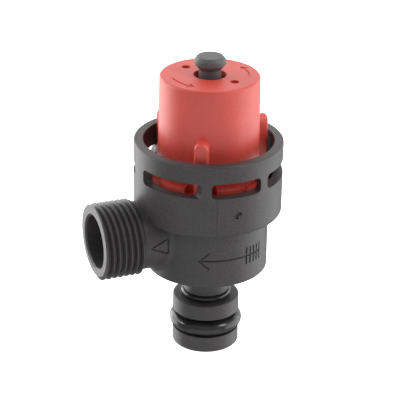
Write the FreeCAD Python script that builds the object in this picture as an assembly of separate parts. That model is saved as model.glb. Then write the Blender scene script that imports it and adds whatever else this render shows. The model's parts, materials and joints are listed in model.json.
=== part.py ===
"""Boiler pressure relief valve: windowed plastic body, spring bonnet, lift stem and seat.

Millimetres, +Z up.  The origin is the centre of the inlet spigot's end face.
The outlet points along -X and the body's plain front faces -Y.
Angles about Z are measured from -Y towards +X.
"""
import FreeCAD, Part

import math
import os

from FreeCAD import Rotation, Vector

UP = Vector(0, 0, 1)
CENTRE = Vector(0, 0, 0)
TOL = 1e-4
OVER = 1.0
JUNCTION_TOL = 0.01
FULL_TURN = 360.0

# inlet spigot
SPIGOT_R = 7.35
SPIGOT_CHAMFER = 0.2
SPIGOT_TOP_Z = 11.5
SPIGOT_TOP_ROUND = 0.35
NECK_R = 5.0
NECK_FILLET = 0.35
NECK_RING_SECTION = 1.2
NECK_RING_OUTER_R = 5.55
NECK_RING_GAP = 0.02
NECK_GROOVE_TOP_Z = 12.85
INLET_R = 3.1
RING_SECTION = 3.0
RING_OUTER_R = 8.05
RING_Z = 5.55
RING_GROOVE_LOW_Z = 3.6
RING_GROOVE_HIGH_Z = 8.0

# body shell
LOWER_R = 13.25
LOWER_BASE_Z = 19.25
LOWER_ROUND = 0.35
BARREL_R = 16.1
BARREL_BASE_Z = 32.45
BARREL_ROUND = 0.6
RIM_Z = 48.6
RIM_ROUND = 0.35
COLLAR_BORE_R = 14.05
COLLAR_EDGE_BREAK = 0.12
CHAMBER_R = 11.3
CHAMBER_FLOOR_Z = 21.5
LEDGE_Z = 35.6

# collar windows
WINDOW_LOW_Z = 41.35
WINDOW_HIGH_Z = 44.7
BACK_WINDOW_HIGH_Z = 43.8
WINDOW_ROUND = 1.0
CENTRE_WINDOW_HALF = 5.6
SIDE_WINDOW_X = 7.45
SIDE_WINDOW_Y = 2.42

# bayonet that holds the bonnet down
LIP_R = 13.35
LIP_LOW_Z = 40.0
LIP_HIGH_Z = 41.0
LIP_SPAN = 40.0
LIP_ANGLES = (30.0, 150.0, 270.0)

# front pad and marks on the body
PAD_HALF_SPAN = 15.5
PAD_HEIGHT = 0.1
PAD_LOW_Z = 33.2
PAD_HIGH_Z = 41.9
GATE_Z = 37.4
GATE_R = 0.9
GATE_DEPTH = 0.35
GATE_STUB_R = 0.4
GATE_STUB_PROUD = 0.15
MARK_DEPTH = 0.28
MARK_WIDTH = 0.38
MARK_Z = 25.6
MARK_HEIGHT = 3.6
MARK_ANGLES = (-30.0, 35.0)
MARK_TICKS = 5
ARROW_HEAD_SPAN = 9.0
NECK_ARROW_TIP_X = -15.9
NECK_ARROW_BASE_X = -12.1
NECK_ARROW_HALF = 1.75

# outlet, axis along -X
OUTLET_Z = 28.25
OUTLET_FACE_X = -26.2
OUTLET_BORE_R = 5.83
OUTLET_BORE_CHAMFER = 0.4
OUTLET_NECK_R = 7.45
OUTLET_NECK_FILLET = 1.3
THREAD_R = 8.33
THREAD_PITCH = 1.337
THREAD_DEPTH = 0.856
THREAD_FLAT = 0.2
THREAD_OVERCUT = 0.1
THREAD_LEAD_R = 8.1
THREAD_END_X = -17.45
THREAD_STEP = 0.4

# valve seat and its seal
SEAT_POCKET_R = 5.2
SEAT_POCKET_Z = 20.6
SEAT_BOSS_R = 7.0
SEAT_BOSS_Z = 24.0
SEAT_R = 5.15
SEAT_BORE_R = 3.5
SEAT_LIP_R = 4.2
SEAT_Z = 25.0
SEAT_GROOVE_R = 4.25
SEAT_GROOVE_Z = (21.6, 22.9)
SEAT_RING_SECTION = 0.92
SEAT_RING_GAP = 0.01

# bonnet
BONNET_TOP_Z = 63.05
BONNET_TOP_R = 10.7
BONNET_WALL_R = 10.9
BONNET_EDGE_ROUND = 0.6
BONNET_CEILING_Z = 60.7
BONNET_CAVITY_R = 8.9
BONNET_BASE_Z = 37.9
BONNET_SKIRT_R = 13.2
BONNET_SKIRT_Z = 40.4
BONNET_HOLE_R = 3.5
LUG_TOP_Z = 42.2
LUG_SPAN = 30.0
LUG_ANGLES = (0.0, 60.0, 120.0, 180.0, 240.0, 300.0)
BAYONET_R = 13.9
BAYONET_LOW_Z = 38.5
BAYONET_SPAN = 36.0
RIB_ANGLES = (-30.0, 90.0, 210.0)
RIB_WIDTH = 3.0
RIB_TOP_Z = 52.5
RIB_R = 13.4
RIB_ROUND = 0.6
SPANNER_R = 0.97
SPANNER_PITCH_R = 6.7
SPANNER_DEPTH = 1.6
SPANNER_ANGLES = (27.0, 207.0)
TOP_MARK_DEPTH = 0.2
TOP_MARK_R = 8.2
TOP_MARK_WIDTH = 0.4
TURN_ARROWS = (-70.0, 80.0)
TURN_ARROW_SPAN = 46.0
ARROW_LENGTH = 1.6
ARROW_LEAN = 35.0

# diaphragm stack
DIAPHRAGM_R = 13.9
DIAPHRAGM_BEAD_R = 12.2
DIAPHRAGM_TOP_Z = 37.0
MEMBRANE_Z = (35.9, 36.7)
FOLD_R = 9.3
FOLD_HALF = 1.5
CLAMP_RING_R = 11.6
PLATE_R = 7.6
PLATE_TOP_Z = 37.5
SPRING_PLATE_R = 8.3
SPRING_SEAT_Z = 38.7
SPRING_BOSS_R = 5.3
SPRING_BOSS_Z = 40.0
PLATE_RIM = 0.8

# spring and its adjuster
SPRING_MEAN_R = 6.4
SPRING_WIRE = 1.6
SPRING_TURNS = 6.5
SPRING_END_TURNS = 1.0
SPRING_CLOSED_PITCH = 1.04
SPRING_GROUND = 0.3
UPPER_PLATE_Z = (57.6, 58.6)
UPPER_BOSS_Z = 56.8
UPPER_PLATE_HOLE_R = 3.7
ADJUSTER_R = 8.85
ADJUSTER_TOP_Z = 60.4
ADJUSTER_HOLE_R = 0.8
ADJUSTER_HOLE_PITCH_R = 6.2

# stem
STEM_R = 3.35
STEM_RUNNING_CLEARANCE = 0.07
STEM_NECK_R = 2.42
STEM_STUD_R = 2.0
STEM_STUD_GAP = 0.05
STEM_STUD_LOW_Z = 30.6
STEM_SHANK_TOP_Z = 60.6
STEM_NECK_TOP_Z = 64.45
STEM_HEAD_LOW_Z = 65.45
STEM_HEAD_HIGH_Z = 66.45
STEM_TOP_Z = 67.2
STEM_TOP_R = 2.7
STEM_COLLAR_R = 4.3
STEM_LIFT = 2.5
STEM_COLLAR_DEPTH = 1.6
STEM_STOP_GAP = 0.05
STEM_EDGE_ROUND = 0.25
STEM_TOP_ROUND = 0.12

# sealing disc and holder
HOLDER_FLANGE_R = 7.0
HOLDER_FLANGE_Z = 35.0
HOLDER_NECK_R = 3.7
HOLDER_CUP_R = 6.4
HOLDER_CUP_Z = (25.8, 29.0)
DISC_R = 5.4
DISC_TOP_Z = 27.2
WASHER_R = 2.7
WASHER_LOW_Z = 24.2
SCREW_R = 1.0
SCREW_HEAD_R = 1.9
SCREW_HEAD_LOW_Z = 23.0
SCREW_TIP_Z = 29.8
SCREW_SLOT = 0.5
SCREW_SLOT_SPAN = 2.3
SCREW_CHAMFER = 0.3
DISC_GAP = 0.05


def lathe(corners):
    """Solid of revolution about Z from a closed outline of (radius, height) corners."""
    points = [Vector(radius, 0, height) for radius, height in corners]
    return Part.Face(Part.makePolygon(points + points[:1])).revolve(CENTRE, UP, FULL_TURN)


def tube(inner, outer, low, high):
    """Plain ring, or a disc when the inner radius is zero."""
    return lathe([(inner, low), (outer, low), (outer, high), (inner, high)])


def torus(radius, section_r, height):
    """Ring of round section about Z."""
    return Part.makeTorus(radius, section_r, Vector(0, 0, height))


def aimed(shape, angle):
    """Turn a shape modelled on the front (-Y) side to the given angle about Z."""
    turned = shape.copy()
    turned.rotate(CENTRE, UP, angle)
    return turned


def sector(inner, outer, low, high, middle, span):
    """Part of a ring, span degrees wide about the middle angle."""
    points = [Vector(inner, 0, low), Vector(outer, 0, low), Vector(outer, 0, high), Vector(inner, 0, high)]
    face = Part.Face(Part.makePolygon(points + points[:1]))
    start = middle - span / 2 - 90.0
    return aimed(face.revolve(CENTRE, UP, span), start)


def polar(radius, angle, height=0.0):
    """Point at an angle measured from -Y towards +X."""
    turn = math.radians(angle)
    return Vector(radius * math.sin(turn), -radius * math.cos(turn), height)


def drill(radius, pitch_r, angle, low, high):
    """Round hole parallel to Z."""
    return Part.makeCylinder(radius, high - low, polar(pitch_r, angle, low))


def rim_edges(shape, radius, height):
    """Circular edges about Z at one radius and height."""
    return [edge for edge in shape.Edges
            if isinstance(edge.Curve, Part.Circle)
            and abs(edge.Curve.Radius - radius) < TOL
            and abs(edge.Curve.Center.z - height) < TOL]


def rounded_rims(shape, rims, size):
    """Round the circular edges named by (radius, height)."""
    edges = [edge for rim in rims for edge in rim_edges(shape, *rim)]
    return shape.makeFillet(size, edges)


def rounded_slot(along, across_low, across_high, open_side, top_z):
    """Prism through the collar wall with round corners at its closed ends, seen along one axis."""
    wide = across_high - across_low
    tall = top_z - WINDOW_LOW_Z
    reach = 2 * BARREL_R
    if along == "Y":
        block = Part.makeBox(wide, reach, tall, Vector(across_low, -reach, WINDOW_LOW_Z))
    else:
        block = Part.makeBox(reach, wide, tall, Vector(0, across_low, WINDOW_LOW_Z))
    spots = [spot for spot in (across_low, across_high) if spot != open_side]
    edges = []
    for edge in block.Edges:
        ends = [vertex.Point for vertex in edge.Vertexes]
        run = ends[1] - ends[0]
        long_way = abs(run.y) if along == "Y" else abs(run.x)
        place = ends[0].x if along == "Y" else ends[0].y
        if abs(long_way - reach) < TOL and min(abs(place - spot) for spot in spots) < TOL:
            edges.append(edge)
    return block.makeFillet(WINDOW_ROUND, edges)


def half_windows(top_z):
    """The three openings on the front half: one in the middle and one on each side."""
    outer_x = 2 * BARREL_R
    outer_y = -2 * BARREL_R
    middle = rounded_slot("Y", -CENTRE_WINDOW_HALF, CENTRE_WINDOW_HALF, None, top_z)
    side = rounded_slot("Y", SIDE_WINDOW_X, outer_x, outer_x, top_z)
    side = side.common(rounded_slot("X", outer_y, -SIDE_WINDOW_Y, outer_y, top_z))
    return [middle, side, side.mirror(CENTRE, Vector(1, 0, 0))]


def collar_windows():
    """Six openings split by slim pillars; the back three are a little lower."""
    back = [shape.mirror(CENTRE, Vector(0, 1, 0)) for shape in half_windows(BACK_WINDOW_HIGH_Z)]
    return half_windows(WINDOW_HIGH_Z) + back


def outlet_thread_turn():
    """One turn of the V groove of the outlet's male thread, rising about Z."""
    root_r = THREAD_R - THREAD_DEPTH
    outer_r = THREAD_R + THREAD_OVERCUT
    slope = (THREAD_PITCH / 2 - THREAD_FLAT) / THREAD_DEPTH
    root_half = THREAD_FLAT / 2
    outer_half = root_half + slope * (outer_r - root_r)
    corners = [Vector(root_r, 0, -root_half), Vector(outer_r, 0, -outer_half),
               Vector(outer_r, 0, outer_half), Vector(root_r, 0, root_half)]
    profile = Part.makePolygon(corners + corners[:1])
    helix = Part.makeHelix(THREAD_PITCH, THREAD_PITCH, root_r)
    return Part.Wire(helix.Edges).makePipeShell([profile], True, True)


def outlet_stub():
    """Threaded end of the outlet along -X, still without its bore."""
    thread_len = THREAD_END_X - OUTLET_FACE_X
    lead = THREAD_R - THREAD_LEAD_R
    stub = lathe([(0, 0), (THREAD_LEAD_R, 0), (THREAD_R, lead), (THREAD_R, thread_len),
                  (OUTLET_NECK_R, thread_len + THREAD_STEP), (0, thread_len + THREAD_STEP)])
    turn = outlet_thread_turn()
    for count in range(math.ceil(thread_len / THREAD_PITCH) + 2):
        stub = stub.cut(turn.translated(Vector(0, 0, (count - 1) * THREAD_PITCH)))
    return to_outlet(stub)


def to_outlet(shape):
    """Lay a shape modelled from the outlet's face along +Z into place along +X."""
    laid = shape.copy()
    laid.rotate(CENTRE, Vector(0, 1, 0), 90.0)
    laid.translate(Vector(OUTLET_FACE_X, 0, OUTLET_Z))
    return laid


def junction_edges(shape):
    """Edges where the outlet's plain neck meets the lower body."""
    found = []
    for edge in shape.Edges:
        points = edge.discretize(5)
        off_body = max(abs(math.hypot(point.x, point.y) - LOWER_R) for point in points)
        off_neck = max(abs(math.hypot(point.y, point.z - OUTLET_Z) - OUTLET_NECK_R) for point in points)
        if off_body < JUNCTION_TOL and off_neck < JUNCTION_TOL:
            found.append(edge)
    return found


def lower_shell():
    """Outside of the spigot and lower body, with the outlet's plain neck blended in."""
    groove_r = RING_OUTER_R - RING_SECTION
    neck_groove_r = NECK_RING_OUTER_R - NECK_RING_SECTION - NECK_RING_GAP
    shell = lathe([
        (0, 0), (SPIGOT_R - SPIGOT_CHAMFER, 0), (SPIGOT_R, SPIGOT_CHAMFER),
        (SPIGOT_R, RING_GROOVE_LOW_Z), (groove_r, RING_GROOVE_LOW_Z),
        (groove_r, RING_GROOVE_HIGH_Z), (SPIGOT_R, RING_GROOVE_HIGH_Z),
        (SPIGOT_R, SPIGOT_TOP_Z), (neck_groove_r, SPIGOT_TOP_Z), (neck_groove_r, NECK_GROOVE_TOP_Z),
        (NECK_R, NECK_GROOVE_TOP_Z), (NECK_R, LOWER_BASE_Z),
        (LOWER_R, LOWER_BASE_Z), (LOWER_R, WINDOW_LOW_Z), (0, WINDOW_LOW_Z)])
    shell = rounded_rims(shell, [(SPIGOT_R, SPIGOT_TOP_Z)], SPIGOT_TOP_ROUND)
    shell = rounded_rims(shell, [(NECK_R, LOWER_BASE_Z)], NECK_FILLET)
    shell = rounded_rims(shell, [(LOWER_R, LOWER_BASE_Z)], LOWER_ROUND)
    neck = Part.makeCylinder(OUTLET_NECK_R, -THREAD_END_X, Vector(THREAD_END_X, 0, OUTLET_Z), Vector(1, 0, 0))
    shell = shell.fuse(neck)
    return shell.makeFillet(OUTLET_NECK_FILLET, junction_edges(shell))


def barrel_shell():
    """Outside of the barrel and collar."""
    shell = tube(0, BARREL_R, BARREL_BASE_Z, RIM_Z)
    shell = rounded_rims(shell, [(BARREL_R, BARREL_BASE_Z)], BARREL_ROUND)
    return rounded_rims(shell, [(BARREL_R, RIM_Z)], RIM_ROUND)


def collar_room():
    """Space inside the collar above the diaphragm's ledge, flared a little at the rim."""
    flare_r = COLLAR_BORE_R + COLLAR_EDGE_BREAK
    return lathe([
        (0, LEDGE_Z), (COLLAR_BORE_R, LEDGE_Z), (COLLAR_BORE_R, RIM_Z - COLLAR_EDGE_BREAK), (flare_r, RIM_Z),
        (flare_r, RIM_Z + OVER), (0, RIM_Z + OVER)])


def body_hollows():
    """Inlet bore, seat pocket, chamber and outlet bore."""
    inlet = tube(0, INLET_R, -OVER, SEAT_POCKET_Z + TOL)
    pocket = tube(0, SEAT_POCKET_R, SEAT_POCKET_Z, SEAT_BOSS_Z + OVER)
    chamber = lathe([
        (SEAT_BOSS_R, CHAMBER_FLOOR_Z), (CHAMBER_R, CHAMBER_FLOOR_Z), (CHAMBER_R, LEDGE_Z + OVER),
        (0, LEDGE_Z + OVER), (0, SEAT_BOSS_Z), (SEAT_BOSS_R, SEAT_BOSS_Z)])
    inner_x = -math.sqrt(CHAMBER_R ** 2 - OUTLET_BORE_R ** 2)
    length = inner_x - OUTLET_FACE_X
    mouth_r = OUTLET_BORE_R + OUTLET_BORE_CHAMFER
    bore = lathe([(0, -OVER), (mouth_r, -OVER), (mouth_r, 0), (OUTLET_BORE_R, OUTLET_BORE_CHAMFER),
                  (OUTLET_BORE_R, length), (0, length)])
    return [inlet, pocket, chamber, to_outlet(bore)]


def radial_stroke(radius, start, end, depth=MARK_DEPTH):
    """Straight engraved stroke on a cylinder, from (angle, height) to (angle, height)."""
    middle_angle = (start[0] + end[0]) / 2
    middle_z = (start[1] + end[1]) / 2
    across = radius * math.radians(end[0] - start[0])
    rise = end[1] - start[1]
    length = math.hypot(across, rise) + MARK_WIDTH
    block = Part.makeBox(length, 2 * depth, MARK_WIDTH, Vector(-length / 2, -depth, -MARK_WIDTH / 2))
    block.rotate(CENTRE, Vector(0, -1, 0), math.degrees(math.atan2(rise, across)))
    block.translate(Vector(0, -radius, middle_z))
    return aimed(block, middle_angle)


def flow_arrow():
    """Engraved arrow on the lower body that points round to the outlet, with a row of ticks."""
    low_angle, high_angle = MARK_ANGLES
    half = MARK_HEIGHT / 2
    shaft = sector(LOWER_R - MARK_DEPTH, LOWER_R + OVER, MARK_Z - MARK_WIDTH / 2, MARK_Z + MARK_WIDTH / 2,
                   (low_angle + high_angle) / 2, high_angle - low_angle)
    strokes = [shaft]
    for side in (-half, half):
        barb = (low_angle + ARROW_HEAD_SPAN, MARK_Z + side)
        strokes.append(radial_stroke(LOWER_R, barb, (low_angle, MARK_Z)))
    for tick in range(MARK_TICKS):
        angle = high_angle - tick * ARROW_HEAD_SPAN / 2
        strokes.append(radial_stroke(LOWER_R, (angle, MARK_Z - half), (angle, MARK_Z + half)))
    return strokes


def front_pad():
    """Slightly raised panel on the barrel's front."""
    return sector(BARREL_R - OVER, BARREL_R + PAD_HEIGHT, PAD_LOW_Z, PAD_HIGH_Z, 0.0, 2 * PAD_HALF_SPAN)


def neck_arrow():
    """Engraved outline of a triangle on the front of the outlet's neck, pointing out of the outlet."""
    tip = Vector(NECK_ARROW_TIP_X, 0, OUTLET_Z)
    low = Vector(NECK_ARROW_BASE_X, 0, OUTLET_Z - NECK_ARROW_HALF)
    high = Vector(NECK_ARROW_BASE_X, 0, OUTLET_Z + NECK_ARROW_HALF)
    core_length = NECK_ARROW_BASE_X - NECK_ARROW_TIP_X + 2 * OVER
    core = Part.makeCylinder(OUTLET_NECK_R - MARK_DEPTH, core_length,
                             Vector(NECK_ARROW_TIP_X - OVER, 0, OUTLET_Z), Vector(1, 0, 0))
    strokes = []
    for start, end in ((tip, high), (high, low), (low, tip)):
        run = end - start
        blade = Part.makeBox(run.Length, OUTLET_NECK_R + OVER, MARK_WIDTH,
                             Vector(0, -OUTLET_NECK_R - OVER, -MARK_WIDTH / 2))
        blade.rotate(CENTRE, Vector(0, -1, 0), math.degrees(math.atan2(run.z, run.x)))
        blade.translate(start)
        strokes.append(blade.cut(core))
    return strokes


def gate_mark():
    """Shallow round dimple where the body was injected."""
    face_y = -BARREL_R - PAD_HEIGHT
    return Part.makeCylinder(GATE_R, OVER + GATE_DEPTH, Vector(0, face_y - OVER, GATE_Z), Vector(0, 1, 0))


def gate_stub():
    """Broken-off sprue that stands in the dimple."""
    face_y = -BARREL_R - PAD_HEIGHT - GATE_STUB_PROUD
    return Part.makeCylinder(GATE_STUB_R, OVER, Vector(GATE_STUB_R, face_y, GATE_Z - GATE_STUB_R),
                             Vector(0, 1, 0))


def valve_body():
    body = lower_shell().fuse([barrel_shell(), outlet_stub(), front_pad()]).removeSplitter()
    body = body.cut([collar_room()] + body_hollows())
    lips = [sector(LIP_R, COLLAR_BORE_R + OVER, LIP_LOW_Z, LIP_HIGH_Z, angle, LIP_SPAN)
            for angle in LIP_ANGLES]
    body = body.fuse(lips)
    body = body.cut(collar_windows() + flow_arrow() + neck_arrow() + [gate_mark()])
    return body.fuse(gate_stub())


def spigot_o_ring():
    return torus(RING_OUTER_R - RING_SECTION / 2, RING_SECTION / 2, RING_Z)


def neck_o_ring():
    """Small ring in the groove at the foot of the neck."""
    section_r = NECK_RING_SECTION / 2
    return torus(NECK_RING_OUTER_R - section_r, section_r, SPIGOT_TOP_Z + NECK_RING_GAP + section_r)


def valve_seat():
    low, high = SEAT_GROOVE_Z
    return lathe([
        (SEAT_BORE_R, SEAT_POCKET_Z), (SEAT_R, SEAT_POCKET_Z), (SEAT_R, low), (SEAT_GROOVE_R, low),
        (SEAT_GROOVE_R, high), (SEAT_R, high), (SEAT_R, SEAT_BOSS_Z), (SEAT_LIP_R, SEAT_BOSS_Z),
        (SEAT_LIP_R, SEAT_Z), (SEAT_BORE_R, SEAT_Z)])


def seat_o_ring():
    middle_r = SEAT_POCKET_R - SEAT_RING_SECTION / 2 - SEAT_RING_GAP
    return torus(middle_r, SEAT_RING_SECTION / 2, sum(SEAT_GROOVE_Z) / 2)


def bonnet_rib():
    """Upright rib with a round top, modelled at the front."""
    half = RIB_WIDTH / 2
    arch_z = RIB_TOP_Z - half
    root_r = BONNET_CAVITY_R + half / 2
    bar = Part.makeBox(RIB_WIDTH, RIB_R, arch_z - BONNET_BASE_Z, Vector(-half, -RIB_R, BONNET_BASE_Z))
    arch = Part.makeCylinder(half, RIB_R, Vector(0, -RIB_R, arch_z), Vector(0, 1, 0))
    rib = bar.fuse(arch).removeSplitter()
    edges = [edge for edge in rib.Edges
             if edge.BoundBox.YMax < TOL - RIB_R and edge.BoundBox.ZMax > arch_z - TOL]
    rib = rib.makeFillet(RIB_ROUND, edges)
    return rib.cut(tube(0, root_r, 0, BONNET_TOP_Z))


def turn_arrow(middle, span):
    """Engraved arc arrow on the bonnet's top that shows the locking turn."""
    low = BONNET_TOP_Z - TOP_MARK_DEPTH
    high = BONNET_TOP_Z + OVER
    half = TOP_MARK_WIDTH / 2
    arc = sector(TOP_MARK_R - half, TOP_MARK_R + half, low, high, middle, span)
    tip = polar(TOP_MARK_R, middle + span / 2, low)
    strokes = [arc]
    for lean in (-ARROW_LEAN, ARROW_LEAN):
        stroke = Part.makeBox(ARROW_LENGTH, TOP_MARK_WIDTH, high - low, Vector(-ARROW_LENGTH, -half, 0))
        stroke.rotate(CENTRE, UP, middle + span / 2 + lean)
        stroke.translate(tip)
        strokes.append(stroke)
    return strokes


def bonnet():
    """Spring housing with its skirt, bayonet, lugs and ribs."""
    shell = lathe([
        (BONNET_CAVITY_R, BONNET_BASE_Z), (BONNET_SKIRT_R, BONNET_BASE_Z),
        (BONNET_SKIRT_R, BONNET_SKIRT_Z), (BONNET_WALL_R, BONNET_SKIRT_Z), (BONNET_WALL_R, LUG_TOP_Z),
        (BONNET_TOP_R, BONNET_TOP_Z), (BONNET_HOLE_R, BONNET_TOP_Z), (BONNET_HOLE_R, BONNET_CEILING_Z),
        (BONNET_CAVITY_R, BONNET_CEILING_Z)])
    shell = rounded_rims(shell, [(BONNET_TOP_R, BONNET_TOP_Z)], BONNET_EDGE_ROUND)
    root_r = BONNET_WALL_R - OVER
    lugs = [sector(root_r, BONNET_SKIRT_R, BONNET_BASE_Z, LUG_TOP_Z, angle, LUG_SPAN) for angle in LUG_ANGLES]
    bayonet = [sector(root_r, BAYONET_R, BAYONET_LOW_Z, LIP_LOW_Z, angle, BAYONET_SPAN)
               for angle in LIP_ANGLES]
    ribs = [aimed(bonnet_rib(), angle) for angle in RIB_ANGLES]
    shell = shell.fuse(lugs + bayonet + ribs).removeSplitter()
    hole_low = BONNET_TOP_Z - SPANNER_DEPTH
    spanner_holes = [drill(SPANNER_R, SPANNER_PITCH_R, angle, hole_low, BONNET_TOP_Z + OVER)
                     for angle in SPANNER_ANGLES]
    marks = [stroke for middle in TURN_ARROWS for stroke in turn_arrow(middle, TURN_ARROW_SPAN)]
    return shell.cut(spanner_holes + marks)


def diaphragm_clamp_ring():
    return tube(CLAMP_RING_R, DIAPHRAGM_R, DIAPHRAGM_TOP_Z, BONNET_BASE_Z)


def diaphragm():
    """Rubber disc with a thick rim and one rolled fold round its clamped centre."""
    low, high = MEMBRANE_Z
    thick = high - low
    outer = FOLD_HALF + thick / 2
    inner = FOLD_HALF - thick / 2
    disc = tube(STEM_STUD_R + STEM_STUD_GAP, DIAPHRAGM_BEAD_R, low, high)
    disc = disc.fuse(tube(DIAPHRAGM_BEAD_R, DIAPHRAGM_R, LEDGE_Z, DIAPHRAGM_TOP_Z))
    middle = (low + high) / 2
    fold_zone = tube(FOLD_R - FOLD_HALF, FOLD_R + FOLD_HALF, low - OVER, high + OVER)
    below = tube(FOLD_R - outer, FOLD_R + outer, middle - outer, middle)
    fold = torus(FOLD_R, outer, middle).cut(torus(FOLD_R, inner, middle)).common(below)
    return disc.cut(fold_zone).fuse(fold).removeSplitter()


def diaphragm_plate():
    return tube(STEM_STUD_R + STEM_STUD_GAP, PLATE_R, MEMBRANE_Z[1], PLATE_TOP_Z)


def lower_spring_plate():
    hole_r = STEM_STUD_R + STEM_STUD_GAP
    rim_r = SPRING_PLATE_R - PLATE_RIM
    return lathe([
        (hole_r, PLATE_TOP_Z), (SPRING_PLATE_R, PLATE_TOP_Z), (SPRING_PLATE_R, SPRING_BOSS_Z),
        (rim_r, SPRING_BOSS_Z), (rim_r, SPRING_SEAT_Z), (SPRING_BOSS_R, SPRING_SEAT_Z),
        (SPRING_BOSS_R, SPRING_BOSS_Z), (hole_r, SPRING_BOSS_Z)])


def spring_path(low, high):
    """Helix with closed end turns between two wire-centre heights."""
    lead = SPRING_WIRE * SPRING_CLOSED_PITCH
    middle = high - low - 2 * SPRING_END_TURNS * lead
    parts = []
    height = low
    turn = 0.0
    for turns, rise in ((SPRING_END_TURNS, SPRING_END_TURNS * lead), (SPRING_TURNS, middle),
                        (SPRING_END_TURNS, SPRING_END_TURNS * lead)):
        coil = Part.makeHelix(rise / turns, rise, SPRING_MEAN_R)
        coil.rotate(CENTRE, UP, turn * FULL_TURN)
        coil.translate(Vector(0, 0, height))
        parts += coil.Edges
        height += rise
        turn += turns
    return Part.Wire(parts)


def main_spring():
    """Compression spring with closed, ground ends."""
    low = SPRING_SEAT_Z
    high = UPPER_PLATE_Z[0]
    ground = SPRING_WIRE * SPRING_GROUND
    path = spring_path(low + ground, high - ground)
    start = Vector(SPRING_MEAN_R, 0, low + ground)
    section = Part.Wire(Part.makeCircle(SPRING_WIRE / 2, start, Vector(0, 1, 0)))
    coil = path.makePipeShell([section], True, True)
    return coil.common(tube(0, SPRING_PLATE_R, low, high))


def upper_spring_plate():
    low, high = UPPER_PLATE_Z
    return lathe([
        (UPPER_PLATE_HOLE_R, UPPER_BOSS_Z), (SPRING_BOSS_R, UPPER_BOSS_Z), (SPRING_BOSS_R, low),
        (SPRING_PLATE_R, low), (SPRING_PLATE_R, high), (UPPER_PLATE_HOLE_R, high)])


def adjusting_ring():
    """Threaded ring in the bonnet that loads the spring and guides the stem."""
    low = UPPER_PLATE_Z[1]
    ring = tube(STEM_R + STEM_RUNNING_CLEARANCE, ADJUSTER_R, low, ADJUSTER_TOP_Z)
    holes = [drill(ADJUSTER_HOLE_R, ADJUSTER_HOLE_PITCH_R, angle, low - OVER, BONNET_TOP_Z)
             for angle in SPANNER_ANGLES]
    return ring.cut(holes)


def valve_stem():
    """Lift stem: stud, shank with its stop collar, grip neck and head."""
    collar_high = UPPER_BOSS_Z - STEM_LIFT - STEM_STOP_GAP
    collar_low = collar_high - STEM_COLLAR_DEPTH
    slope = STEM_R - STEM_NECK_R
    stem = lathe([
        (0, STEM_STUD_LOW_Z), (STEM_STUD_R, STEM_STUD_LOW_Z), (STEM_STUD_R, SPRING_BOSS_Z),
        (STEM_R, SPRING_BOSS_Z), (STEM_R, collar_low), (STEM_COLLAR_R, collar_low),
        (STEM_COLLAR_R, collar_high), (STEM_R, collar_high), (STEM_R, STEM_SHANK_TOP_Z),
        (STEM_NECK_R, STEM_SHANK_TOP_Z + slope), (STEM_NECK_R, STEM_NECK_TOP_Z),
        (STEM_R, STEM_HEAD_LOW_Z), (STEM_R, STEM_HEAD_HIGH_Z), (STEM_TOP_R, STEM_TOP_Z), (0, STEM_TOP_Z)])
    stem = rounded_rims(stem, [(STEM_R, STEM_HEAD_LOW_Z), (STEM_R, STEM_HEAD_HIGH_Z)], STEM_EDGE_ROUND)
    return rounded_rims(stem, [(STEM_TOP_R, STEM_TOP_Z)], STEM_TOP_ROUND)


def disc_holder():
    """Cup for the rubber disc, drilled for the stem's stud above and the screw below."""
    cup_low, cup_high = HOLDER_CUP_Z
    top = MEMBRANE_Z[0]
    return lathe([
        (SCREW_R, DISC_TOP_Z), (DISC_R, DISC_TOP_Z), (DISC_R, cup_low), (HOLDER_CUP_R, cup_low),
        (HOLDER_CUP_R, cup_high), (HOLDER_NECK_R, cup_high), (HOLDER_NECK_R, HOLDER_FLANGE_Z),
        (HOLDER_FLANGE_R, HOLDER_FLANGE_Z), (HOLDER_FLANGE_R, top), (STEM_STUD_R, top),
        (STEM_STUD_R, STEM_STUD_LOW_Z), (0, STEM_STUD_LOW_Z), (0, SCREW_TIP_Z), (SCREW_R, SCREW_TIP_Z)])


def disc_seal():
    return tube(SCREW_R, DISC_R - DISC_GAP, SEAT_Z, DISC_TOP_Z)


def seal_washer():
    return tube(SCREW_R, WASHER_R, WASHER_LOW_Z, SEAT_Z)


def disc_screw():
    """Cross-slotted screw up through the washer and disc."""
    screw = lathe([
        (0, SCREW_HEAD_LOW_Z), (SCREW_HEAD_R - SCREW_CHAMFER, SCREW_HEAD_LOW_Z),
        (SCREW_HEAD_R, SCREW_HEAD_LOW_Z + SCREW_CHAMFER), (SCREW_HEAD_R, WASHER_LOW_Z),
        (SCREW_R, WASHER_LOW_Z), (SCREW_R, SCREW_TIP_Z), (0, SCREW_TIP_Z)])
    slot = Part.makeBox(SCREW_SLOT_SPAN, SCREW_SLOT, 2 * SCREW_SLOT,
                        Vector(-SCREW_SLOT_SPAN / 2, -SCREW_SLOT / 2, SCREW_HEAD_LOW_Z - SCREW_SLOT))
    return screw.cut([slot, aimed(slot, 90.0)])


PIECES = (
    valve_body, spigot_o_ring, neck_o_ring, valve_seat, seat_o_ring, bonnet, adjusting_ring,
    upper_spring_plate, main_spring, lower_spring_plate, diaphragm_clamp_ring, diaphragm, diaphragm_plate,
    valve_stem, disc_holder, disc_seal, seal_washer, disc_screw)

os.makedirs("parts", exist_ok=True)
for piece in PIECES:
    piece().exportStep(f"parts/{piece.__name__}.step")
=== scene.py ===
"""Studio view of a boiler pressure relief valve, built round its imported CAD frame.

Metres, +Z up.  The valve's axis is Z, the threaded outlet points along -X, the front faces -Y.
"""
import json
import math

import bpy
from mathutils import Matrix, Vector


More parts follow.
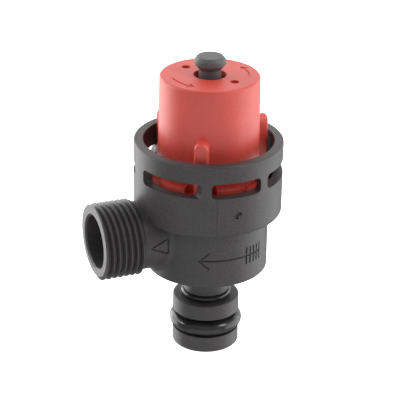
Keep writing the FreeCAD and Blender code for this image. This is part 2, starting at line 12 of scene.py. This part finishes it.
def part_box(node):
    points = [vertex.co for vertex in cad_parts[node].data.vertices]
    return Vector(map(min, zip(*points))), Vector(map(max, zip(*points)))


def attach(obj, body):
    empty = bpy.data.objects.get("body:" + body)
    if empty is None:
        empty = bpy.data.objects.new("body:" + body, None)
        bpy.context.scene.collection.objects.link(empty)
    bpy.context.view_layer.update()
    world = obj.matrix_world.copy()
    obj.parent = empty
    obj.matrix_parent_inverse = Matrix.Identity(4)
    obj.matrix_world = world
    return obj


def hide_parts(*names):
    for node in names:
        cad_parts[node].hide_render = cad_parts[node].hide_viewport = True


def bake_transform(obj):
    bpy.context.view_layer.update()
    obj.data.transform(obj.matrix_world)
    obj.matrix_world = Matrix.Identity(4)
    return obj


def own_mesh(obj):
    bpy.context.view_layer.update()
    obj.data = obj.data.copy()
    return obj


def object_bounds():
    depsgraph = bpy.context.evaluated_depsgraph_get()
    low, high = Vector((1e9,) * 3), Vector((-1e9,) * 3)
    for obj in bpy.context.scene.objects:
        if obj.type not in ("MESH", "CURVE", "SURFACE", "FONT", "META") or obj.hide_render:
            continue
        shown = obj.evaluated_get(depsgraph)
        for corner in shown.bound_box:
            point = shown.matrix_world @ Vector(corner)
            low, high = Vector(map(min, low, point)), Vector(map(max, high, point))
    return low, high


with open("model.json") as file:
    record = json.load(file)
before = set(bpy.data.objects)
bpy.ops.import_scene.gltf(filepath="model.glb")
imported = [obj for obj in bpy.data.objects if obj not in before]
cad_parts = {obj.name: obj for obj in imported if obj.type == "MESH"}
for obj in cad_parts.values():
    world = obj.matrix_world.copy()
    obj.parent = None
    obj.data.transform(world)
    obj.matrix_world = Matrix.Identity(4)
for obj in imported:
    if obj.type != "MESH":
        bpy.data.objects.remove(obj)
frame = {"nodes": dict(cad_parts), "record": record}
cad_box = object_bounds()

MM = 0.001
nodes = frame["nodes"]
scene = bpy.context.scene

# camera, measured from the front (-Y) towards +X
CAMERA_AZIMUTH = math.radians(-23.0)
CAMERA_ELEVATION = math.radians(24.66)
CAMERA_DISTANCE = 350 * MM
CAMERA_ROLL = math.radians(0.97)
CAMERA_LENS = 144.9
CAMERA_CLIP = 10 * MM
AIM_ABOVE_MIDDLE = 2.22 * MM
AIM_SHIFT = (-1.65 * MM, -1.74 * MM)

# lights: name, degrees round from the camera, degrees up, width, height, radiance
LIGHT_AIM = Vector((0, 0, 30 * MM))
PANEL_DISTANCE = 0.6
PANELS = (
    ("back_sweep", 180, 12, 1.5, 0.8, 0.95),
    ("left_sweep", -122, 0, 0.6, 0.8, 3.0),
    ("right_sweep", 100, -4, 0.8, 0.8, 1.9),
    ("left_box", -86, 30, 0.16, 0.16, 9.0),
    ("right_box", 70, 45, 0.18, 0.18, 9.0),
    ("table_glow", 0, -32, 1.3, 0.7, 0.55),
    ("top_box", 180, 72, 0.5, 0.5, 0.8),
)
WORLD_STRENGTH = 0.44
FLOOR_HALF = 4.0
FLOOR_GAP = 0.02 * MM

# main spring
SPRING_MEAN_R = 6.4 * MM
SPRING_WIRE = 1.6 * MM
SPRING_TURNS = 6.5
SPRING_CLOSED_PITCH = 1.04
SPRING_GROUND = 0.3
SPRING_STEPS = 48
WIRE_SIDES = 20

# diaphragm section
WEB_HOLE_R = 2.05 * MM
WEB_HEIGHTS = (35.9 * MM, 36.7 * MM)
FOLD_R = 9.3 * MM
FOLD_HALF = 1.5 * MM
FOLD_STEPS = 12
RIM_INNER_R = 12.2 * MM
RIM_OUTER_R = 13.9 * MM
RIM_HEIGHTS = (35.6 * MM, 37.0 * MM)
SECTORS = 16
SECTOR_STEPS = 4


def camera_axes():
    """Unit vectors from the aim point to the camera, to the view's right and up."""
    back = Vector((math.sin(CAMERA_AZIMUTH) * math.cos(CAMERA_ELEVATION),
                   -math.cos(CAMERA_AZIMUTH) * math.cos(CAMERA_ELEVATION),
                   math.sin(CAMERA_ELEVATION)))
    right = Vector((math.cos(CAMERA_AZIMUTH), math.sin(CAMERA_AZIMUTH), 0))
    return back, right, back.cross(right)


def add_camera():
    back, right, up = camera_axes()
    middle = (cad_box[0][2] + cad_box[1][2]) / 2
    aim = Vector((0, 0, middle + AIM_ABOVE_MIDDLE)) + right * AIM_SHIFT[0] + up * AIM_SHIFT[1]
    data = bpy.data.cameras.new("camera")
    data.lens = CAMERA_LENS
    data.clip_start = CAMERA_CLIP
    camera = bpy.data.objects.new("camera", data)
    scene.collection.objects.link(camera)
    camera.location = aim + back * CAMERA_DISTANCE
    tilted_right = right * math.cos(CAMERA_ROLL) + up * math.sin(CAMERA_ROLL)
    turn = Matrix((tilted_right, back.cross(tilted_right), back)).transposed()
    camera.rotation_euler = turn.to_euler()
    scene.camera = camera


def around(azimuth, elevation):
    """Place for a panel, in degrees round the valve from the camera's side towards the view's right."""
    turn = CAMERA_AZIMUTH + math.radians(azimuth)
    rise = math.radians(elevation)
    way = Vector((math.sin(turn) * math.cos(rise), -math.cos(turn) * math.cos(rise), math.sin(rise)))
    return LIGHT_AIM + way * PANEL_DISTANCE


def area_light(name, place, width, height, radiance):
    """Soft panel that faces the valve; radiance 1 looks as bright as the white floor."""
    data = bpy.data.lights.new(name, "AREA")
    data.shape = "RECTANGLE"
    data.size = width
    data.size_y = height
    data.energy = radiance * math.pi * width * height
    lamp = bpy.data.objects.new(name, data)
    scene.collection.objects.link(lamp)
    lamp.location = place
    lamp.rotation_euler = (place - LIGHT_AIM).to_track_quat("Z", "Y").to_euler()


def add_lights():
    """White sweep behind, sweeps and softboxes at the sides, a soft top and a glow from the table."""
    for name, azimuth, elevation, width, height, radiance in PANELS:
        area_light(name, around(azimuth, elevation), width, height, radiance)
    world = bpy.data.worlds.new("world")
    world.use_nodes = True
    world.node_tree.nodes["Background"].inputs["Color"].default_value = (1, 1, 1, 1)
    world.node_tree.nodes["Background"].inputs["Strength"].default_value = WORLD_STRENGTH
    scene.world = world


def add_floor():
    """White table under the valve; the glow panel shines up through it."""
    mesh = bpy.data.meshes.new("floor")
    low = cad_box[0][2] - FLOOR_GAP
    corners = [(x, y, low) for x, y in ((-FLOOR_HALF, -FLOOR_HALF), (FLOOR_HALF, -FLOOR_HALF),
                                        (FLOOR_HALF, FLOOR_HALF), (-FLOOR_HALF, FLOOR_HALF))]
    mesh.from_pydata(corners, [], [(0, 1, 2, 3)])
    floor = bpy.data.objects.new("floor", mesh)
    scene.collection.objects.link(floor)
    material = new_material("floor_white")
    shader = principled(material)
    shader.inputs["Base Color"].default_value = (0.9, 0.9, 0.9, 1)
    shader.inputs["Roughness"].default_value = 0.9
    shader.inputs["Specular IOR Level"].default_value = 0.0
    shader.inputs["Emission Color"].default_value = (1, 1, 1, 1)
    shader.inputs["Emission Strength"].default_value = 1.0
    mesh.materials.append(material)
    floor.visible_diffuse = False
    floor.visible_glossy = False
    floor.visible_shadow = False


def new_material(name):
    material = bpy.data.materials.new(name)
    material.use_nodes = True
    return material


def principled(material):
    return material.node_tree.nodes["Principled BSDF"]


class Maker:
    """Short way to add and link shader nodes in one material."""

    def __init__(self, name):
        self.material = new_material(name)
        self.tree = self.material.node_tree
        self.shader = principled(self.material)
        self.place = self.add("ShaderNodeTexCoord").outputs["Object"]

    def add(self, kind, **values):
        node = self.tree.nodes.new(kind)
        for key, value in values.items():
            setattr(node, key, value)
        return node

    def link(self, source, target):
        self.tree.links.new(source, target)

    def noise(self, size, detail=2.0, roughness=0.5):
        """Noise whose features are about size metres wide."""
        node = self.add("ShaderNodeTexNoise")
        node.inputs["Scale"].default_value = 1.0 / size
        node.inputs["Detail"].default_value = detail
        node.inputs["Roughness"].default_value = roughness
        self.link(self.place, node.inputs["Vector"])
        return node.outputs["Fac"]

    def ramp(self, source, stops):
        node = self.add("ShaderNodeValToRGB")
        ramp = node.color_ramp
        while len(ramp.elements) < len(stops):
            ramp.elements.new(0.5)
        for element, (place, colour) in zip(ramp.elements, stops):
            element.position = place
            element.color = (*colour, 1)
        self.link(source, node.inputs["Fac"])
        return node.outputs["Color"]

    def remap(self, source, low, high, to_low, to_high):
        node = self.add("ShaderNodeMapRange")
        for key, value in (("From Min", low), ("From Max", high), ("To Min", to_low), ("To Max", to_high)):
            node.inputs[key].default_value = value
        self.link(source, node.inputs["Value"])
        return node.outputs["Result"]

    def multiply(self, first, second):
        node = self.add("ShaderNodeMix", data_type="RGBA", blend_type="MULTIPLY")
        sockets = {(socket.name, socket.type): socket for socket in node.inputs}
        sockets["Factor", "VALUE"].default_value = 1.0
        self.link(first, sockets["A", "RGBA"])
        self.link(second, sockets["B", "RGBA"])
        return next(socket for socket in node.outputs if socket.type == "RGBA")

    def bump(self, height, distance, strength):
        node = self.add("ShaderNodeBump")
        node.inputs["Strength"].default_value = strength
        node.inputs["Distance"].default_value = distance
        self.link(height, node.inputs["Height"])
        return node.outputs["Normal"]

    def finish(self, **plain):
        for key, value in plain.items():
            self.shader.inputs[key.replace("_", " ")].default_value = value
        return self.material


def body_plastic():
    """Dark grey glass-filled plastic: fine pale fibres, satin skin, faint flow clouding."""
    m = Maker("body_plastic")
    fibre = m.noise(0.35 * MM, 3.0, 0.65)
    cloud = m.noise(7 * MM, 2.0)
    base = m.ramp(fibre, [(0.30, (0.034, 0.031, 0.032)), (0.52, (0.049, 0.045, 0.047)),
                          (0.70, (0.070, 0.065, 0.067))])
    tint = m.ramp(cloud, [(0.35, (0.92, 0.91, 0.92)), (0.65, (1.06, 1.06, 1.07))])
    m.link(m.multiply(base, tint), m.shader.inputs["Base Color"])
    m.link(m.remap(fibre, 0.3, 0.7, 0.40, 0.54), m.shader.inputs["Roughness"])
    grain = m.noise(0.22 * MM, 2.0)
    m.link(m.bump(grain, 0.012 * MM, 0.6), m.shader.inputs["Normal"])
    return m.finish()


def bonnet_plastic():
    """Red satin plastic, slightly translucent."""
    m = Maker("bonnet_plastic")
    cloud = m.noise(5 * MM, 2.0)
    fleck = m.noise(0.4 * MM, 2.0)
    base = m.ramp(cloud, [(0.35, (0.62, 0.056, 0.036)), (0.65, (0.68, 0.066, 0.044))])
    tint = m.ramp(fleck, [(0.35, (0.95, 0.94, 0.94)), (0.65, (1.04, 1.05, 1.05))])
    m.link(m.multiply(base, tint), m.shader.inputs["Base Color"])
    m.link(m.remap(fleck, 0.3, 0.7, 0.42, 0.52), m.shader.inputs["Roughness"])
    m.link(m.bump(fleck, 0.010 * MM, 0.5), m.shader.inputs["Normal"])
    return m.finish(Subsurface_Weight=0.15, Subsurface_Radius=(0.0016, 0.0004, 0.0003),
                    Subsurface_Scale=1.0, Specular_IOR_Level=0.85)


def stem_plastic():
    """Dark grey plastic with fine flecks."""
    m = Maker("stem_plastic")
    fleck = m.noise(0.3 * MM, 3.0, 0.6)
    m.link(m.ramp(fleck, [(0.3, (0.065, 0.065, 0.068)), (0.7, (0.115, 0.115, 0.118))]),
           m.shader.inputs["Base Color"])
    m.link(m.remap(fleck, 0.3, 0.7, 0.42, 0.56), m.shader.inputs["Roughness"])
    m.link(m.bump(fleck, 0.015 * MM, 0.6), m.shader.inputs["Normal"])
    return m.finish()


def seal_rubber():
    """Smooth black rubber with a thin film of grease."""
    m = Maker("seal_rubber")
    film = m.noise(2.5 * MM, 1.0)
    m.link(m.ramp(film, [(0.3, (0.016, 0.016, 0.017)), (0.7, (0.026, 0.026, 0.027))]),
           m.shader.inputs["Base Color"])
    m.link(m.remap(film, 0.3, 0.7, 0.15, 0.22), m.shader.inputs["Roughness"])
    m.link(m.bump(m.noise(0.4 * MM), 0.002 * MM, 0.4), m.shader.inputs["Normal"])
    return m.finish()


def turned_metal(name, dark, light, roughness):
    """Lathe-turned metal: fine rings about Z and slight staining."""
    m = Maker(name)
    stain = m.noise(2.5 * MM, 3.0)
    m.link(m.ramp(stain, [(0.3, dark), (0.7, light)]), m.shader.inputs["Base Color"])
    m.link(m.remap(stain, 0.3, 0.7, roughness - 0.06, roughness + 0.08), m.shader.inputs["Roughness"])
    rings = m.add("ShaderNodeTexWave", wave_type="RINGS", rings_direction="Z")
    rings.inputs["Scale"].default_value = 1.0 / (0.9 * MM)
    rings.inputs["Distortion"].default_value = 0.6
    m.link(m.place, rings.inputs["Vector"])
    m.link(m.bump(rings.outputs["Fac"], 0.006 * MM, 0.4), m.shader.inputs["Normal"])
    return m.finish(Metallic=1.0)


MATERIALS = {
    "body_plastic": body_plastic(),
    "bonnet_plastic": bonnet_plastic(),
    "stem_plastic": stem_plastic(),
    "seal_rubber": seal_rubber(),
    "stainless": turned_metal("stainless", (0.50, 0.50, 0.51), (0.62, 0.62, 0.63), 0.28),
    "spring_steel": turned_metal("spring_steel", (0.30, 0.30, 0.32), (0.42, 0.42, 0.44), 0.34),
    "brass": turned_metal("brass", (0.62, 0.44, 0.17), (0.76, 0.57, 0.26), 0.30),
}


def mesh_piece(name, points, faces, slot, replaced):
    """New piece from points in metres, smooth shaded, in the material of its slot."""
    mesh = bpy.data.meshes.new(name)
    mesh.from_pydata(points, [], faces)
    mesh.polygons.foreach_set("use_smooth", [True] * len(faces))
    mesh.materials.append(MATERIALS[slot])
    piece = bpy.data.objects.new(name, mesh)
    scene.collection.objects.link(piece)
    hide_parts(replaced)
    return piece


def add_spring():
    """Coil spring between its two plates, with closed ground ends."""
    low, high = (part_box("main_spring")[side][2] for side in (0, 1))
    start = low + SPRING_GROUND * SPRING_WIRE
    rise = high - low - 2 * SPRING_GROUND * SPRING_WIRE
    closed_rise = SPRING_CLOSED_PITCH * SPRING_WIRE
    open_rise = (rise - 2 * closed_rise) / SPRING_TURNS
    turns = SPRING_TURNS + 2
    steps = round(turns * SPRING_STEPS)
    points = []
    for step in range(steps + 1):
        turn = step / SPRING_STEPS
        closed = min(turn, 1.0) + max(turn - turns + 1.0, 0.0)
        height = start + closed * closed_rise + (turn - closed) * open_rise
        angle = 2 * math.pi * turn
        for side in range(WIRE_SIDES):
            lean = 2 * math.pi * side / WIRE_SIDES
            radius = SPRING_MEAN_R + SPRING_WIRE / 2 * math.cos(lean)
            level = min(max(height + SPRING_WIRE / 2 * math.sin(lean), low), high)
            points.append((radius * math.cos(angle), radius * math.sin(angle), level))
    faces = [(step * WIRE_SIDES + side, (step + 1) * WIRE_SIDES + side,
              (step + 1) * WIRE_SIDES + (side + 1) % WIRE_SIDES, step * WIRE_SIDES + (side + 1) % WIRE_SIDES)
             for step in range(steps) for side in range(WIRE_SIDES)]
    faces.append(tuple(range(WIRE_SIDES)))
    faces.append(tuple(reversed(range(steps * WIRE_SIDES, (steps + 1) * WIRE_SIDES))))
    spring = mesh_piece("main_spring_coil", points, faces, "spring_steel", "main_spring")
    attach(spring, "root")
    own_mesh(spring)


def diaphragm_outline():
    """Closed outline of the diaphragm's section as (radius, height): flat web, rolled fold, thick rim."""
    low, high = WEB_HEIGHTS
    middle = (low + high) / 2
    inner = FOLD_HALF - (high - low) / 2
    outer = FOLD_HALF + (high - low) / 2
    join = math.asin((middle - low) / outer)
    rim_low, rim_high = RIM_HEIGHTS
    outline = [(WEB_HOLE_R, high), (FOLD_R - inner, high)]
    for step in range(FOLD_STEPS + 1):
        lean = math.pi * (1 + step / FOLD_STEPS)
        outline.append((FOLD_R + inner * math.cos(lean), middle + inner * math.sin(lean)))
    outline += [(FOLD_R + inner, high), (RIM_INNER_R, high), (RIM_INNER_R, rim_high), (RIM_OUTER_R, rim_high),
                (RIM_OUTER_R, rim_low), (RIM_INNER_R, rim_low), (RIM_INNER_R, low)]
    for step in range(FOLD_STEPS + 1):
        lean = 2 * math.pi - join - (math.pi - 2 * join) * step / FOLD_STEPS
        outline.append((FOLD_R + outer * math.cos(lean), middle + outer * math.sin(lean)))
    return outline + [(WEB_HOLE_R, low)]


def add_diaphragm():
    """Rubber diaphragm in sectors round the axis, each swept from the section outline."""
    outline = diaphragm_outline()
    count = len(outline)
    width = 2 * math.pi / SECTORS
    for sector in range(SECTORS):
        points = []
        for step in range(SECTOR_STEPS + 1):
            angle = width * (sector + step / SECTOR_STEPS)
            points += [(radius * math.cos(angle), radius * math.sin(angle), height)
                       for radius, height in outline]
        faces = [(step * count + corner, (step + 1) * count + corner,
                  (step + 1) * count + (corner + 1) % count, step * count + (corner + 1) % count)
                 for step in range(SECTOR_STEPS) for corner in range(count)]
        piece = mesh_piece(f"diaphragm_sector_{sector:02d}", points, faces, "seal_rubber", "diaphragm")
        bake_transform(piece)


def paint_nodes():
    """Give each CAD node the material of its slot."""
    for subpart in frame["record"]["subparts"]:
        mesh = nodes[subpart["node"]].data
        mesh.materials.clear()
        mesh.materials.append(MATERIALS[subpart["material_slot"]])


paint_nodes()
add_spring()
add_diaphragm()
add_camera()
add_lights()
add_floor()
scene.view_settings.view_transform = "Standard"
